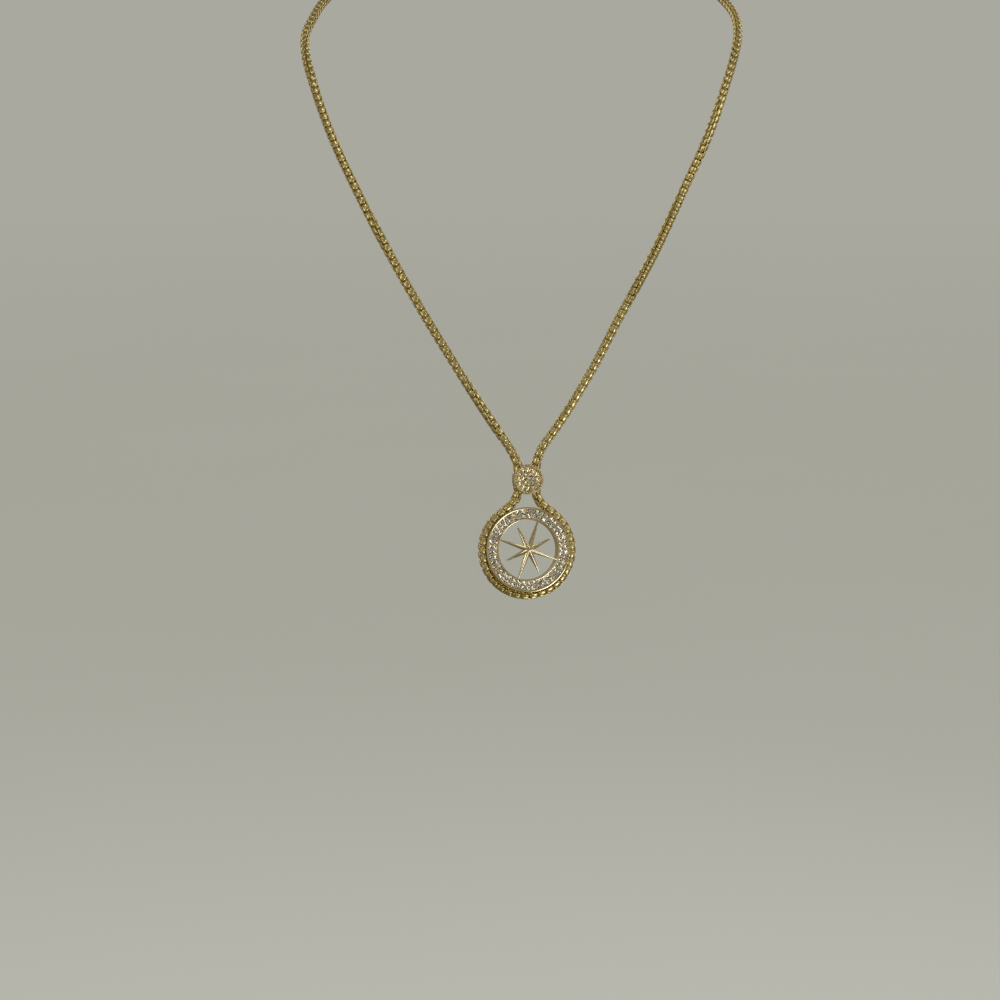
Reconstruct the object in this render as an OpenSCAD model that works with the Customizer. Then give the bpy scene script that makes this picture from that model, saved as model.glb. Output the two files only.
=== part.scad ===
// Compass pendant on its chain.
// A rounded box chain comes down from the clasp, passes through the slider, lies in the groove round
// the compass ring and goes back up. Z is up and the pendant faces -Y. The origin is on the inner
// face of the clasp, at the back of the neck. Sizes are in millimetres, angles in degrees.

/* [Chain] */
// Width across a link
link_w = 3.0; // [2.95:0.05:3.1]
// Length of a link along the chain
link_len = 2.38; // [2.36:0.01:2.4]
// Width of the strip that a link is bent from
strip_w = 1.0; // [0.8:0.05:1.1]
// Thickness of that strip
strip_t = 0.4; // [0.34:0.02:0.42]
// Outside corner radius of a link
link_corner = 0.9; // [0.8:0.05:0.95]
// Distance from one link to the next
link_pitch = 1.32; // [1.3:0.01:1.34]
// Gap at each end of the neck chain, to the next link and in the clasp
end_gap = 0.2; // [0.1:0.05:0.5]

/* [Compass ring] */
// Outer diameter of the front rim
rim_d = 26.4; // [25:0.1:28]
// Diameter of the open middle
opening_d = 18.7; // [18:0.1:18.9]
// Width of the polished inner rim
inner_rim_w = 0.4; // [0.3:0.05:0.5]
// Width of the polished outer rim
outer_rim_w = 0.55; // [0.4:0.05:0.6]
// Height of both rims above the bed of stones
rim_h = 0.35; // [0.2:0.05:0.5]
// Thickness of the front flange that covers the chain
front_flange_t = 1.0; // [0.95:0.05:1.3]
// Thickness of the back flange
back_flange_t = 0.5; // [0.4:0.05:0.9]
// Diameter of the back flange
back_flange_d = 25.8; // [25:0.1:27]
// How far the wrapped chain stands out past the rim
chain_proud = 2.15; // [1.9:0.05:2.3]
// Gap round the chain in its groove
groove_gap = 0.14; // [0.1:0.02:0.25]

/* [Compass star] */
// Angle of the first long arm from the pendant's right
star_turn = 71; // [45:1:90]
// Height of the star's point above the rims
star_peak = 1.7; // [1:0.1:3]
// Length of a short arm from the middle
short_arm = 7.5; // [5:0.1:8.5]
// Distance from the middle to the notch between two arms
star_notch = 1.75; // [1.2:0.05:2.5]
// Width of an arm at its tip
tip_w = 0.36; // [0.2:0.02:0.6]
// Thickness of an arm at its tip
tip_t = 0.8; // [0.5:0.05:1.2]
// Height of an arm's tip above the rims
tip_rise = 0.18; // [0.1:0.02:0.3]

/* [Stones] */
// Diameter of a stone in the ring
stone_d = 1.28; // [1.1:0.02:1.3]
// Least gap between two stones of one row
stone_gap = 0.32; // [0.2:0.02:0.6]
// Diameter of a stone in the slider
slider_stone_d = 1.22; // [1:0.02:1.24]
// Distance between the slider's circles of stones
slider_stone_step = 1.5; // [1.44:0.02:1.54]
// Gap between a stone and its seat
seat_gap = 0.03; // [0.02:0.01:0.04]

/* [Slider] */
// Diameter of the slider's disc
slider_d = 9.3; // [9.2:0.1:10]
// Thickness of the disc up to its bed of stones
slider_t = 1.3; // [1.1:0.1:1.8]
// Width of the slider's border
border_w = 0.86; // [0.8:0.02:0.88]
// Height of the border above the slider's bed of stones
border_h = 0.26; // [0.2:0.02:0.3]
// Diameter of a bead on the border
bead_d = 0.78; // [0.6:0.02:0.8]
// Gap between two beads
bead_gap = 0.12; // [0.08:0.02:0.4]
// Gap between the front rim and the slider's disc above it
slider_gap = 3.95; // [3.95:0.05:6]
// Half the distance between the two strands in the slider
strand_x = 2.8; // [2.8:0.05:3.1]
// Length of the two bores behind the disc
bore_len = 5.6; // [5:0.1:6]
// Gap round the chain in a bore
bore_gap = 0.12; // [0.1:0.01:0.15]
// Wall round a bore
bore_wall = 0.25; // [0.25:0.05:0.5]
// Radius in which each strand bends below the slider
exit_bend = 7; // [6.8:0.1:7.2]

/* [Clasp] */
// Length of the clasp
clasp_len = 14; // [10:0.5:16]
// Diameter of the clasp
clasp_d = 5.4; // [5:0.1:7]
// Depth of the flat on the clasp's inner side
clasp_flat = 0.4; // [0.2:0.05:0.5]
// Depth of the socket in each end of the clasp
socket_depth = 2.5; // [2:0.1:4]

/* [Placing] */
// Height of the clasp above the ring's middle
ring_drop = 188; // [184:1:192]
// Distance of the ring's middle in front of the clasp
ring_forward = 128; // [124:1:132]
// Distance of the ring's middle to the wearer's left of the clasp
ring_aside = 2; // [-4:1:6]
// Angle at which the pendant leans back on the chest
lean = 12; // [8:1:16]
// Angle by which the pendant is turned to one side
turn = 10; // [0:1:14]

/* [Hidden] */
$fn = 64;
GOLD = "goldenrod";
CRYSTAL = "aliceblue";
EPS = 0.1;

// Share of the strip's thickness by which its outside is domed
DOME_SHARE = 0.25;
// Half the thickness of the chain when its links stand at 45 degrees to the ring's face
chain_reach = (link_w / 2 - strip_t * DOME_SHARE + strip_w / 2) * cos(45);
wrap_r = rim_d / 2 + chain_proud - chain_reach;
chain_z = -(front_flange_t + groove_gap + chain_reach);
groove_r = wrap_r - chain_reach - groove_gap;
back_flange_z = chain_z - chain_reach - groove_gap;
back_z = back_flange_z - back_flange_t;
edge_round = 0.2;

// The bed of stones holds two rows, each in the middle of its half
bed_r0 = opening_d / 2 + inner_rim_w;
bed_r1 = rim_d / 2 - outer_rim_w;
row_r = [for (share = [0.25, 0.75]) bed_r0 + share * (bed_r1 - bed_r0)];
row_count = [for (r = row_r) floor(2 * PI * r / (stone_d + stone_gap))];
// Where each stone of a row stands, with the rows half a step apart
ring_seats = [for (row = [0, 1]) for (i = [0 : row_count[row] - 1])
    let (a = 360 * (i + row / 2) / row_count[row])
    [row_r[row] * cos(a), row_r[row] * sin(a), -rim_h]];

// A stone's cut, as shares of its diameter
TABLE_SHARE = 0.56;
CROWN_SHARE = 0.15;
PAVILION_SHARE = 0.43;
STONE_SIDES = 8;

// Height of the slider's middle above the ring's middle
slider_rise = rim_d / 2 + slider_gap + slider_d / 2;
bore_r = link_w / 2 + bore_gap;
bore_body_r = bore_r + bore_wall;
slider_back_z = chain_z + bore_r + bore_wall / 2;
slider_bed_z = slider_back_z + slider_t;
bead_ring_r = slider_d / 2 - border_w / 2;
bead_count = floor(2 * PI * bead_ring_r / (bead_d + bead_gap));
slider_seats = concat([[0, 0, slider_bed_z]],
    [for (ring = [1, 2]) for (i = [0 : 6 * ring - 1])
        let (a = 60 * i / ring)
        [ring * slider_stone_step * cos(a), ring * slider_stone_step * sin(a), slider_bed_z]]);

// The wrapped strand leaves each bore straight down, bends outwards and runs along a line that
// touches the circle round the ring. strand_lean is that line's angle from straight down.
bend_x = strand_x + exit_bend;
bend_y = slider_rise - bore_len / 2;
strand_lean = atan2(bend_y, bend_x) - acos((wrap_r + exit_bend) / norm([bend_x, bend_y]));
arc_len = wrap_r * (90 + strand_lean) * PI / 180;
line_len = norm([bend_x - (wrap_r + exit_bend) * cos(strand_lean),
                 bend_y - (wrap_r + exit_bend) * sin(strand_lean)]);
bend_len = exit_bend * strand_lean * PI / 180;
half_wrap = arc_len + line_len + bend_len + bore_len / 2;
wrap_links = 2 * round(half_wrap / link_pitch);
wrap_pitch = 2 * half_wrap / wrap_links;

// Point and heading [x, y, heading] at a distance s from the lowest point of the ring, going right
function wrap_right(s) =
    s < arc_len ? let (a = s / wrap_r * 180 / PI) [wrap_r * sin(a), -wrap_r * cos(a), a]
    : s < arc_len + line_len ? let (d = s - arc_len, a = strand_lean)
        [wrap_r * cos(a) - d * sin(a), wrap_r * sin(a) + d * cos(a), 90 + a]
    : s < arc_len + line_len + bend_len ?
        let (a = strand_lean - (s - arc_len - line_len) / exit_bend * 180 / PI)
        [bend_x - exit_bend * cos(a), bend_y - exit_bend * sin(a), 90 + a]
    : [strand_x, bend_y + s - arc_len - line_len - bend_len, 90];
function wrap_at(s) = let (p = wrap_right(abs(s))) [sign(s) * p[0], p[1], sign(s) * p[2]];

// A link's outline in its own plane, X along the chain and Y across: each row is the centre of a
// corner and an angle round it. The strip's section runs round its domed outside and flat inside.
CORNER_POINTS = 3;
link_outline = [for (corner = [0 : 3]) for (i = [0 : CORNER_POINTS - 1])
    let (a = 90 * (corner + i / (CORNER_POINTS - 1)),
         cx = (corner == 0 || corner == 3 ? 1 : -1) * (link_len / 2 - link_corner),
         cy = (corner < 2 ? 1 : -1) * (link_w / 2 - link_corner))
    [cx, cy, a]];
strip_section = [[0, 0], [-strip_t * DOME_SHARE, strip_w / 2], [-strip_t, strip_w / 2],
                 [-strip_t, -strip_w / 2], [-strip_t * DOME_SHARE, -strip_w / 2]];

// Skin of a closed or capped sweep: rows of points, each row going once round the section
function sweep_faces(rows, sides, closed) = concat(
    [for (i = [0 : rows - (closed ? 1 : 2)]) for (j = [0 : sides - 1])
        let (i1 = (i + 1) % rows, j1 = (j + 1) % sides)
        [i * sides + j, i * sides + j1, i1 * sides + j1, i1 * sides + j]],
    closed ? [] : [[for (j = [sides - 1 : -1 : 0]) j], [for (j = [0 : sides - 1]) (rows - 1) * sides + j]]);

function unit(v) = v / norm(v);

// The pendant's own frame has X to the right, Y up and Z out of its face
function lean_turn(p) =
    let (q = [p[0] * cos(turn) + p[2] * sin(turn), p[0] * sin(turn) - p[2] * cos(turn), p[1]])
    [q[0] + ring_aside,
     q[1] * cos(lean) + q[2] * sin(lean) - ring_forward,
     -q[1] * sin(lean) + q[2] * cos(lean) - ring_drop];
function bore_point(side, y) = lean_turn([side * strand_x, slider_rise + y, chain_z]);

// The neck chain starts in the middle of its bore and ends in the clasp's socket
BORE_LEAD = 0.4;
clasp_y = clasp_d / 2 - clasp_flat;
chain_end_x = clasp_len / 2 - socket_depth + end_gap;
function chain_start(side) = [bore_point(side, (link_len - wrap_pitch) / 2 + end_gap),
                              bore_point(side, bore_len / 2 + BORE_LEAD)];
function chain_finish(side) = [[side * (clasp_len / 2 + BORE_LEAD), clasp_y, 0],
                               [side * chain_end_x, clasp_y, 0]];
// Chosen points of the two strands, from the slider up and round the neck
LEFT_ROUTE = [[-3.5, -119.5, -158], [-7, -118.5, -153], [-10.5, -117, -148], [-20, -114, -133.5],
              [-29.5, -110.5, -118.5], [-40.5, -105, -100], [-51, -97.5, -81], [-60.5, -87, -62],
              [-66, -77, -48.5], [-69.5, -67.5, -37.5], [-70, -60, -32], [-68, -51.5, -26.5],
              [-65, -40.5, -21], [-55, -24, -13], [-40, -10, -6.5], [-24, -1.5, -2]];
RIGHT_ROUTE = [[6, -119.5, -158], [9.5, -118.5, -153], [13, -117, -148], [22, -114, -133.5],
               [30, -110.5, -118.5], [40.5, -105, -100], [50, -97.5, -81], [59.5, -87, -62],
               [65, -77, -48.5], [69, -67.5, -37.5], [70.5, -60, -32], [70.5, -51.5, -26.5],
               [68, -41, -21.5], [58, -24, -13], [41.5, -10, -6.5], [24.5, -1.5, -2]];
TUBE_SIDES = 8;
TUBE_RINGS = 37;
STEPS = 8;

// Unit direction at each point of a route, straight in the bore and in the socket
function route_dirs(p) = [for (i = [0 : len(p) - 1])
    i < 2 ? unit(p[1] - p[0])
    : i > len(p) - 3 ? unit(p[len(p) - 1] - p[len(p) - 2])
    : let (a = p[i] - p[i - 1], b = p[i + 1] - p[i]) unit(a / norm(a) * norm(b) + b / norm(b) * norm(a))];
// A smooth curve through the points, with STEPS short lines between two of them
function route_curve(p) =
    let (dirs = route_dirs(p))
    concat([for (i = [0 : len(p) - 2]) let (span = norm(p[i + 1] - p[i])) for (k = [0 : STEPS - 1])
        let (u = k / STEPS, u2 = u * u, u3 = u2 * u)
        (2 * u3 - 3 * u2 + 1) * p[i] + (u3 - 2 * u2 + u) * span * dirs[i]
        + (3 * u2 - 2 * u3) * p[i + 1] + (u3 - u2) * span * dirs[i + 1]], [p[len(p) - 1]]);
// Distance along a curve at each of its points
function travelled(c, i = 0, total = 0) =
    i == len(c) - 1 ? [total] : concat([total], travelled(c, i + 1, total + norm(c[i + 1] - c[i])));
function place_on(c, s, d) =
    [for (axis = [0 : 2]) lookup(d, [for (i = [0 : len(c) - 1]) [s[i], c[i][axis]]])];
// Side direction at each station, turned as little as possible from one to the next
function sides_along(dirs, i = 0, before = [0, 0, 1]) =
    i == len(dirs) ? []
    : let (v = unit(before - (before * dirs[i]) * dirs[i])) concat([v], sides_along(dirs, i + 1, v));

module link(roll) {
    points = [for (p = link_outline) for (q = strip_section)
        let (r = link_corner + q[0]) [p[0] + r * cos(p[2]), p[1] + r * sin(p[2]), q[1]]];
    rotate([roll, 0, 0])
        polyhedron(points, sweep_faces(len(link_outline), len(strip_section), true));
}

module wrap_chain() {
    color(GOLD) on_pendant()
        for (i = [0 : wrap_links - 1])
            let (p = wrap_at((i + 0.5 - wrap_links / 2) * wrap_pitch))
            translate([p[0], p[1], chain_z]) rotate([0, 0, p[2]])
                link(i % 2 == 0 ? 45 : -45);
}

module on_pendant() {
    translate([ring_aside, -ring_forward, -ring_drop])
        rotate([-lean, 0, 0]) rotate([0, 0, turn]) rotate([90, 0, 0])
            children();
}

module stone(d) {
    r = d / 2;
    table = [for (i = [0 : STONE_SIDES - 1])
        let (a = 360 * i / STONE_SIDES, table_r = TABLE_SHARE * r)
        [table_r * cos(a), table_r * sin(a), CROWN_SHARE * d]];
    girdle = [for (i = [0 : STONE_SIDES - 1])
        let (a = 360 * i / STONE_SIDES) [r * cos(a), r * sin(a), 0]];
    points = concat(table, girdle, [[0, 0, -PAVILION_SHARE * d]]);
    faces = concat([[for (i = [STONE_SIDES - 1 : -1 : 0]) i]],
        [for (i = [0 : STONE_SIDES - 1]) let (j = (i + 1) % STONE_SIDES)
            [i, j, STONE_SIDES + j, STONE_SIDES + i]],
        [for (i = [0 : STONE_SIDES - 1]) let (j = (i + 1) % STONE_SIDES)
            [STONE_SIDES + i, STONE_SIDES + j, 2 * STONE_SIDES]]);
    polyhedron(points, faces);
}

// Blind cone that a stone sits in, with its mouth at the bed of stones and a small flat end
module seat(d) {
    r = d / 2 + seat_gap;
    depth = 2 * r * PAVILION_SHARE;
    rotate_extrude($fn = 32)
        polygon([[0, EPS], [r, EPS], [r, 0], [seat_gap, -depth], [0, -depth]]);
}

module ring_body() {
    r_in = opening_d / 2;
    r_out = rim_d / 2;
    rotate_extrude($fn = 128)
        polygon([[r_in, -edge_round], [r_in + edge_round / 2, 0], [bed_r0 - edge_round / 2, 0],
                 [bed_r0, -edge_round / 2], [bed_r0, -rim_h], [bed_r1, -rim_h], [bed_r1, -edge_round / 2],
                 [bed_r1 + edge_round / 2, 0], [r_out - edge_round, 0], [r_out, -edge_round * 2],
                 [r_out, -front_flange_t], [groove_r, -front_flange_t], [groove_r, back_flange_z],
                 [back_flange_d / 2, back_flange_z], [back_flange_d / 2, back_z + edge_round],
                 [back_flange_d / 2 - edge_round, back_z], [r_in + edge_round, back_z],
                 [r_in, back_z + edge_round]]);
}

// Eight arms with a ridge each, from one point in the middle down to a flat underside. The outline
// has three points an arm: the notch before it and the two corners of its tip. A notch lies at a
// share of the middle's height, and a tip's corners below its ridge by a share of its thickness.
NOTCH_SHARE = 0.55;
TIP_BEVEL_SHARE = 0.15;
module star() {
    long_arm = opening_d / 2 + inner_rim_w / 2;
    under = tip_rise - tip_t;
    notch_z = tip_rise + NOTCH_SHARE * (star_peak - tip_rise);
    corner_z = tip_rise - TIP_BEVEL_SHARE * tip_t;
    arms = [for (i = [0 : 7]) i % 2 == 0 ? long_arm : short_arm];
    outline = [for (i = [0 : 7])
        let (a = star_turn + 45 * i, half = tip_w / 2, u = [cos(a), sin(a)], v = [-sin(a), cos(a)])
        each [star_notch * [cos(a - 22.5), sin(a - 22.5)],
              arms[i] * u - half * v, arms[i] * u + half * v]];
    n = len(outline);
    top = [for (i = [0 : n - 1]) [outline[i][0], outline[i][1], i % 3 == 0 ? notch_z : corner_z]];
    bottom = [for (p = outline) [p[0], p[1], under]];
    ridge_ends = [for (i = [0 : 7])
        let (a = star_turn + 45 * i) [arms[i] * cos(a), arms[i] * sin(a), tip_rise]];
    points = concat(top, bottom, ridge_ends, [[0, 0, star_peak]]);
    peak = 2 * n + 8;
    faces = concat(
        [[for (i = [0 : n - 1]) n + i]],
        [for (i = [0 : n - 1]) if (i % 3 != 1) let (j = (i + 1) % n) [i, j, n + j, n + i]],
        [for (i = [0 : 7]) let (a = 3 * i, ridge = 2 * n + i, b = (a + 3) % n)
            each [[peak, ridge, a + 1, a], [peak, b, a + 2, ridge],
                  [a + 1, ridge, a + 2, n + a + 2, n + a + 1]]]);
    polyhedron(points, faces);
}

module compass_ring() {
    color(GOLD) on_pendant() union() {
        difference() {
            ring_body();
            for (p = ring_seats) translate(p) seat(stone_d);
        }
        star();
    }
}

module ring_stones() {
    color(CRYSTAL) on_pendant()
        for (p = ring_seats) translate(p) stone(stone_d);
}

module slider() {
    color(GOLD) on_pendant() translate([0, slider_rise, 0]) difference() {
        union() {
            translate([0, 0, slider_back_z]) cylinder(h = slider_t, d = slider_d);
            translate([0, 0, slider_bed_z])
                rotate_extrude()
                    translate([slider_d / 2 - border_w, -EPS]) square([border_w, border_h + EPS]);
            for (i = [0 : bead_count - 1])
                rotate(360 * i / bead_count) translate([bead_ring_r, 0, slider_bed_z + border_h])
                    sphere(d = bead_d, $fn = 24);
            translate([-strand_x, -bore_len / 2, chain_z - bore_body_r])
                cube([2 * strand_x, bore_len, 2 * bore_body_r]);
            for (side = [-1, 1]) strand_bar(side, bore_body_r, bore_len);
        }
        for (side = [-1, 1]) strand_bar(side, bore_r, bore_len + 2 * EPS);
        for (p = slider_seats) translate(p) seat(slider_stone_d);
    }
}

// Round bar along one strand of the chain in the slider
module strand_bar(side, r, length) {
    translate([side * strand_x, 0, chain_z]) rotate([90, 0, 0])
        cylinder(h = length, r = r, center = true);
}

module slider_stones() {
    color(CRYSTAL) on_pendant() translate([0, slider_rise, 0])
        for (p = slider_seats) translate(p) stone(slider_stone_d);
}

// Plain tube of the neck chain's outer size, side -1 on the left and 1 on the right
module neck_strand(side, route) {
    curve = route_curve(concat(chain_start(side), route, chain_finish(side)));
    s = travelled(curve);
    whole = s[len(s) - 1];
    lead = s[STEPS];
    tail = s[len(s) - 1 - STEPS];
    ring_step = (tail - lead) / (TUBE_RINGS - 1);
    stations = concat([0], [for (i = [0 : TUBE_RINGS - 1]) lead + i * ring_step], [whole]);
    places = [for (d = stations) place_on(curve, s, d)];
    n = len(places);
    dirs = [for (i = [0 : n - 1]) unit(places[min(i + 1, n - 1)] - places[max(i - 1, 0)])];
    ends_kept = [for (i = [0 : n - 1]) i < 2 ? unit(places[1] - places[0])
        : i > n - 3 ? unit(places[n - 1] - places[n - 2]) : dirs[i]];
    normals = sides_along(ends_kept);
    points = [for (i = [0 : n - 1]) let (v = normals[i], w = cross(ends_kept[i], v))
        for (j = [0 : TUBE_SIDES - 1]) let (a = 360 * (j + 0.5) / TUBE_SIDES)
            places[i] + link_w / 2 * (v * cos(a) + w * sin(a))];
    polyhedron(points, sweep_faces(n, TUBE_SIDES, false));
}

module neck_chain_left() {
    color(GOLD) neck_strand(-1, LEFT_ROUTE);
}

module neck_chain_right() {
    color(GOLD) neck_strand(1, RIGHT_ROUTE);
}

module clasp() {
    half = clasp_len / 2;
    r = clasp_d / 2;
    color(GOLD) difference() {
        translate([0, clasp_y, 0]) rotate([0, 90, 0])
            rotate_extrude()
                polygon([[0, -half], [r - 2 * edge_round, -half], [r, -half + 2 * edge_round],
                         [r, half - 2 * edge_round], [r - 2 * edge_round, half], [0, half]]);
        translate([-half - EPS, -clasp_d, -clasp_d / 2]) cube([clasp_len + 2 * EPS, clasp_d, clasp_d]);
        for (side = [-1, 1])
            translate([side * (half - socket_depth / 2 + EPS / 2), clasp_y, 0]) rotate([0, 90, 0])
                cylinder(h = socket_depth + EPS, r = bore_r, center = true);
    }
}

compass_ring();
ring_stones();
wrap_chain();
slider();
slider_stones();
neck_chain_left();
neck_chain_right();
clasp();
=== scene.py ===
# %% [markdown]
# # A compass pendant on its chain
# This lesson dresses a jewel in Blender. The real one is gold-plated brass: a ring set with two rows
# of small clear stones, an eight-armed star across its open middle, and a rounded box chain that
# runs round the ring in a groove, through a slider and up round the neck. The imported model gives
# every piece its place and its size. Here each piece gets its fine shape and its finish.

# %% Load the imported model
import math

import bmesh
import bpy
import numpy as np
from mathutils import Matrix, Vector


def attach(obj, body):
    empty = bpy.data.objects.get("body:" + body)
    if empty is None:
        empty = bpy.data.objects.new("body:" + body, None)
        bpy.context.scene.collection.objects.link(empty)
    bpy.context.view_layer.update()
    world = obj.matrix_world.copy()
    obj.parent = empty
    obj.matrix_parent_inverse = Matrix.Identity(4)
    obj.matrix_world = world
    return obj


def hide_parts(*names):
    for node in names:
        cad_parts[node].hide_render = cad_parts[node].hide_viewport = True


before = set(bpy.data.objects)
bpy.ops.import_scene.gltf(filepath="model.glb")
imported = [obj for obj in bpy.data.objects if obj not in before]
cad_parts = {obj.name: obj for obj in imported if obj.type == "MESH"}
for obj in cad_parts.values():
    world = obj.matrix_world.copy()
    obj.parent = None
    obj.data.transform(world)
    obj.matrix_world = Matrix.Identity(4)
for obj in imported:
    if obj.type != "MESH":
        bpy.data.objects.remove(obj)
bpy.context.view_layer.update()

scene = bpy.context.scene
print("nodes:", ", ".join(sorted(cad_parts)))

# %% [markdown]
# ## Where the pendant hangs
# Fine shapes are easiest to make flat on a bench: X to the pendant's right, Y up, Z out of its face,
# in millimetres, with the ring's middle at zero. One matrix then takes a finished mesh to where the
# pendant hangs, leaning back and turned a little, and into metres. A mesh that is made in the
# model's own frame, such as the neck chain, only changes from millimetres to metres.

# %% Places
MM = 0.001
RING_DROP, RING_FORWARD, RING_ASIDE = 188, 128, 2
LEAN, TURN = 12, 10

TO_HANGING = (Matrix.Translation((RING_ASIDE, -RING_FORWARD, -RING_DROP))
              @ Matrix.Rotation(math.radians(-LEAN), 4, "X")
              @ Matrix.Rotation(math.radians(TURN), 4, "Z")
              @ Matrix.Rotation(math.radians(90), 4, "X"))
TO_METRES = Matrix.Scale(MM, 4)
FROM_BENCH = TO_METRES @ TO_HANGING
print("ring's middle in metres:", [round(v, 4) for v in FROM_BENCH.translation])

# %% [markdown]
# ## Small helpers
# A node tree is only a list of nodes with their settings and links, so one function that adds a node
# is enough for geometry and for materials alike. Colours are written as a painter reads them, in
# sRGB hex, and made linear once, here.

# %% Helpers for trees and colours
def add(tree, kind, settings, inputs):
    """Adds a node. Settings go on the node; an input takes a value or another node's socket."""
    node = tree.nodes.new(kind)
    for key, value in settings.items():
        setattr(node, key, value)
    for key, value in inputs.items():
        if isinstance(value, bpy.types.NodeSocket):
            tree.links.new(value, node.inputs[key])
        else:
            node.inputs[key].default_value = value
    return node.outputs


def colour(code):
    """Linear RGBA of an sRGB hex colour."""
    channels = [int(code[i:i + 2], 16) / 255 for i in (1, 3, 5)]
    return tuple(c / 12.92 if c <= 0.04045 else ((c + 0.055) / 1.055) ** 2.4 for c in channels) + (1,)


def geometry_tree(name, inputs):
    """Starts a geometry tree with named inputs, each with its kind of socket and a usual value."""
    tree = bpy.data.node_groups.new(name, "GeometryNodeTree")
    tree.interface.new_socket("Geometry", in_out="INPUT", socket_type="NodeSocketGeometry")
    for label, (kind, usual) in inputs.items():
        socket = tree.interface.new_socket(label, in_out="INPUT", socket_type="NodeSocket" + kind)
        if usual is not None:
            socket.default_value = usual
    tree.interface.new_socket("Geometry", in_out="OUTPUT", socket_type="NodeSocketGeometry")
    return tree, tree.nodes.new("NodeGroupInput").outputs


def finish_tree(tree, geometry, material):
    """Every tree ends by making its copies real and giving them their material."""
    real = add(tree, "GeometryNodeRealizeInstances", {}, {"Geometry": geometry})[0]
    dressed = add(tree, "GeometryNodeSetMaterial", {}, {"Geometry": real, "Material": material})[0]
    add(tree, "NodeGroupOutput", {}, {"Geometry": dressed})


print("a pale gold in linear light:", [round(c, 2) for c in colour("#EFDBA6")[:3]])

# %% Helpers for meshes
def mesh_of(name, points, faces=(), edges=()):
    """A mesh from its points and its faces, or from its points and the edges of a line."""
    mesh = bpy.data.meshes.new(name)
    mesh.from_pydata([tuple(p) for p in points], list(edges), [tuple(f) for f in faces])
    mesh.update()
    return mesh


def object_of(name, data):
    """Puts a mesh, a light or a camera into the scene."""
    piece = bpy.data.objects.new(name, data)
    scene.collection.objects.link(piece)
    return piece


def baked(name, whole):
    """Turns a mesh under edit into a plain mesh."""
    mesh = bpy.data.meshes.new(name)
    whole.to_mesh(mesh)
    whole.free()
    return mesh


def applied(piece):
    """Gives back what an object's modifiers make of it as a plain mesh, and removes the object."""
    made = bpy.data.meshes.new_from_object(piece.evaluated_get(bpy.context.evaluated_depsgraph_get()))
    piece.modifiers.clear()
    bpy.data.objects.remove(piece)
    return made


def grown(name, mesh, tree, sizes):
    """Runs a geometry tree on a mesh and gives back what it makes as a plain mesh."""
    seed = object_of(name + "_seed", mesh)
    modifier = seed.modifiers.new("tree", "NODES")
    modifier.node_group = tree
    for item in tree.interface.items_tree:
        if item.in_out == "INPUT" and item.name in sizes:
            modifier[item.identifier] = sizes[item.name]
    made = applied(seed)
    made.name = name
    return made


# Faces of cast metal that meet at fewer degrees than this are shaded as one smooth surface
CAST_SMOOTH = 32


def finished(name, meshes, matrix, smooth_angle=CAST_SMOOTH):
    """Joins meshes, brings them to their place in metres and makes one object of them."""
    whole = bmesh.new()
    materials = []
    for mesh in meshes:
        own = next(material for material in mesh.materials if material)
        if own not in materials:
            materials.append(own)
        first = len(whole.faces)
        whole.from_mesh(mesh)
        whole.faces.ensure_lookup_table()
        for face in whole.faces[first:]:
            face.material_index = materials.index(own)
    bmesh.ops.transform(whole, matrix=matrix, verts=whole.verts)
    mesh = baked(name, whole)
    for material in materials:
        mesh.materials.append(material)
    if smooth_angle >= 180:
        mesh.shade_smooth()
    elif smooth_angle > 0:
        mesh.polygons.foreach_set("use_smooth", [True] * len(mesh.polygons))
        mesh.set_sharp_from_angle(angle=math.radians(smooth_angle))
    else:
        mesh.shade_flat()
    piece = object_of(name, mesh)
    print(f"{name}: {len(mesh.polygons)} faces")
    return piece


print("cast metal is shaded smooth below", CAST_SMOOTH, "degrees")

# %% [markdown]
# ## Gold
# Every metal piece is brass with a thin coat of yellow gold. The ring, the star and the slider are
# cast and polished, so their highlights are pale and narrow. The chain's links are pressed from strip
# and tumbled, which leaves a softer shine. A metal's colour is what it reflects, so the base colour
# is the colour of a highlight, and a little slow drift in tone and gloss keeps it from looking painted.

# %% Gold-plated brass
def new_material(name):
    """A material whose node tree is still empty."""
    material = bpy.data.materials.new(name)
    material.use_nodes = True
    material.node_tree.nodes.clear()
    return material


def gold(name, tone, deep_tone, drift_mm, gloss, rub_mm, rub_depth_mm):
    """Gold-plated brass whose tone and gloss drift, with fine rubbing from the polish."""
    material = new_material(name)
    tree = material.node_tree
    place = add(tree, "ShaderNodeTexCoord", {}, {})["Object"]
    drift = add(tree, "ShaderNodeTexNoise", {},
                {"Vector": place, "Scale": 1 / (drift_mm * MM), "Detail": 3})[0]
    shade = add(tree, "ShaderNodeMix", {"data_type": "RGBA"},
                {0: drift, 6: colour(tone), 7: colour(deep_tone)})[2]
    rub = add(tree, "ShaderNodeTexNoise", {}, {"Vector": place, "Scale": 1 / (rub_mm * MM), "Detail": 4})[0]
    roughness = add(tree, "ShaderNodeMapRange", {},
                    {"Value": rub, "From Min": 0.3, "From Max": 0.7,
                     "To Min": gloss[0], "To Max": gloss[1]})[0]
    normal = add(tree, "ShaderNodeBump", {},
                 {"Height": rub, "Strength": 1.0, "Distance": rub_depth_mm * MM})[0]
    shader = add(tree, "ShaderNodeBsdfPrincipled", {},
                 {"Base Color": shade, "Metallic": 1.0, "Roughness": roughness, "Normal": normal})[0]
    add(tree, "ShaderNodeOutputMaterial", {}, {"Surface": shader})
    return material


# Bright highlights with a soft edge: a cast piece polished on a felt wheel. The rubbing is finer than
# a pixel on the real one and is drawn at 0.5 mm so that it shows.
CAST_GOLD = gold("cast_gold_plated_brass", "#F4E3B2", "#E9D59C", 6, (0.15, 0.23), 0.5, 0.0006)
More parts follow.
